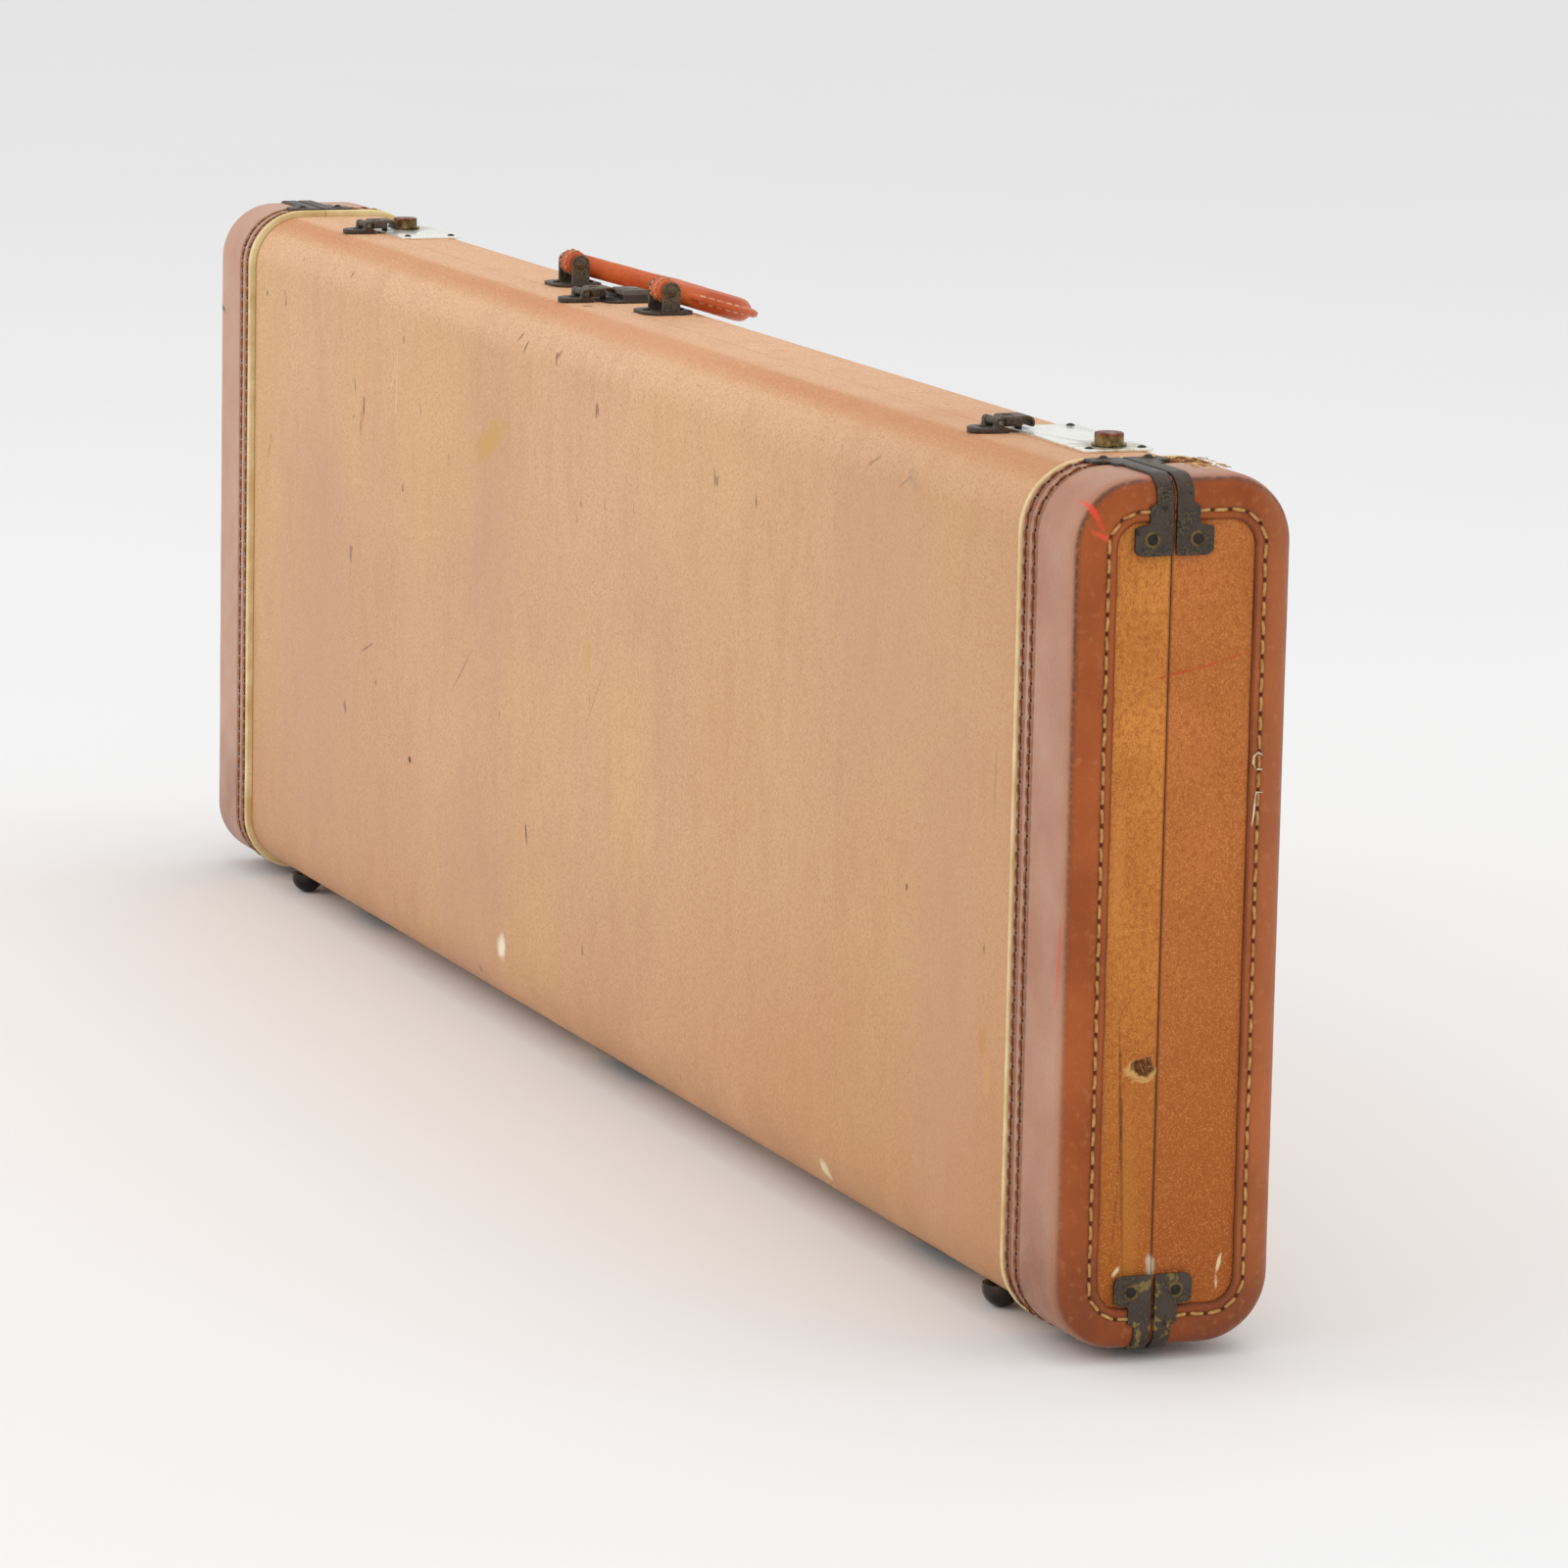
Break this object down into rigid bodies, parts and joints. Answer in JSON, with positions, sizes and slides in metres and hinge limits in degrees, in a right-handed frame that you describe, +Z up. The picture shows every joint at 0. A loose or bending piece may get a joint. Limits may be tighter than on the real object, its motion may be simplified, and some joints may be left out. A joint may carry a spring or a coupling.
{
  "type": "hard guitar case",
  "caption": "Long rectangular hard case with rounded edges, stitched leather ends, a swinging handle, two side latches and a centre lock; opens like a book on its long edge.",
  "frame": {"origin": "on the floor, below the middle of the case, as it stands on its four domed feet", "axes": "+X along the case towards the guitar's headstock end, -Y towards the lid, +Z up, from the hinged edge to the handle"},
  "size_m": [1.1452, 0.1062, 0.3688],
  "materials": {
    "leatherette": "light tan woven-textured leatherette, worn satin",
    "end_leather": "brown stitched leather, worn satin",
    "end_cloth": "rust-brown cloth panel, worn matt",
    "piping": "cream beading, satin",
    "plywood": "bare birch plywood",
    "plush": "short brown plush, matt",
    "padding": "plush-covered padding, matt",
    "bronzed_steel": "darkened bronze plate, worn to brass",
    "foot_steel": "dark blued dome",
    "nickel": "bright nickel plate",
    "button_nickel": "tarnished nickel over brass",
    "steel": "plain steel",
    "handle_leather": "glossy orange-brown rolled leather"
  },
  "bodies": {
    "base": {"base_back_panel": "plywood", "base_top_rail": "plywood", "base_bottom_rail": "plywood", "base_end_board_left": "plywood", "base_end_board_right": "plywood", "base_covering": "leatherette", "base_leather_end_left": "end_leather", "base_leather_end_right": "end_leather", "base_end_panels": "end_cloth", "base_piping": "piping", "base_lining": "plush", "base_pad": "padding", "neck_rest": "padding", "headstock_rest": "padding", "bout_pads": "padding", "waist_pads": "padding", "compartment_inner_wall": "plush", "compartment_outer_wall": "plush", "compartment_side_wall": "plush", "base_corner_straps": "bronzed_steel", "base_strap_rivets": "bronzed_steel", "base_feet": "foot_steel", "base_hinge_leaves": "bronzed_steel", "hinge_pins": "steel", "lock_plate_left": "nickel", "lock_plate_right": "nickel", "lock_plate_rivets": "bronzed_steel", "centre_lock_case": "bronzed_steel", "handle_bracket_left": "bronzed_steel", "handle_bracket_right": "bronzed_steel", "bracket_rivets": "bronzed_steel", "handle_pins": "bronzed_steel"},
    "lid": {"lid_front_panel": "plywood", "lid_top_rail": "plywood", "lid_bottom_rail": "plywood", "lid_end_board_left": "plywood", "lid_end_board_right": "plywood", "lid_covering": "leatherette", "lid_leather_end_left": "end_leather", "lid_leather_end_right": "end_leather", "lid_end_panels": "end_cloth", "lid_piping": "piping", "lid_lining": "plush", "lid_pad": "padding", "lid_corner_straps": "bronzed_steel", "lid_strap_rivets": "bronzed_steel", "lid_feet": "foot_steel", "lid_hinge_leaves": "bronzed_steel", "hasp_bases": "bronzed_steel", "hasp_pins": "steel", "hasp_rivets": "bronzed_steel"},
    "hasp_left": {"hasp_left": "bronzed_steel"},
    "hasp_right": {"hasp_right": "bronzed_steel"},
    "hasp_centre": {"hasp_centre": "bronzed_steel"},
    "thumb_button_left": {"thumb_button_left": "button_nickel"},
    "thumb_button_right": {"thumb_button_right": "button_nickel"},
    "key_plug": {"key_plug": "steel"},
    "handle": {"handle_grip": "handle_leather", "handle_core": "steel", "handle_links": "steel"}
  },
  "joints": [
    {"name": "lid_hinge", "type": "hinge", "parent": "base", "child": "lid", "pos_m": [0, -0.006, 0.004], "axis": [1, 0, 0], "range_deg": [0, 105]},
    {"name": "hasp_left_hinge", "type": "hinge", "parent": "lid", "child": "hasp_left", "pos_m": [-0.426, -0.013, 0.3568], "axis": [1, 0, 0], "range_deg": [0, 110]},
    {"name": "hasp_right_hinge", "type": "hinge", "parent": "lid", "child": "hasp_right", "pos_m": [0.404, -0.013, 0.3568], "axis": [1, 0, 0], "range_deg": [0, 110]},
    {"name": "hasp_centre_hinge", "type": "hinge", "parent": "lid", "child": "hasp_centre", "pos_m": [-0.096, -0.013, 0.3568], "axis": [1, 0, 0], "range_deg": [0, 110]},
    {"name": "thumb_button_left_slide", "type": "slide", "parent": "base", "child": "thumb_button_left", "axis": [1, 0, 0], "range_m": [0, 0.008], "stiffness_N_per_m": 150},
    {"name": "thumb_button_right_slide", "type": "slide", "parent": "base", "child": "thumb_button_right", "axis": [-1, 0, 0], "range_m": [0, 0.008], "stiffness_N_per_m": 150},
    {"name": "key_plug_turn", "type": "hinge", "parent": "base", "child": "key_plug", "pos_m": [-0.096, 0.012, 0.3554], "axis": [0, 0, 1], "range_deg": [0, 90]},
    {"name": "handle_hinge", "type": "hinge", "parent": "base", "child": "handle", "pos_m": [-0.103, 0.0085, 0.3634], "axis": [1, 0, 0], "range_deg": [0, 192]}
  ]
}
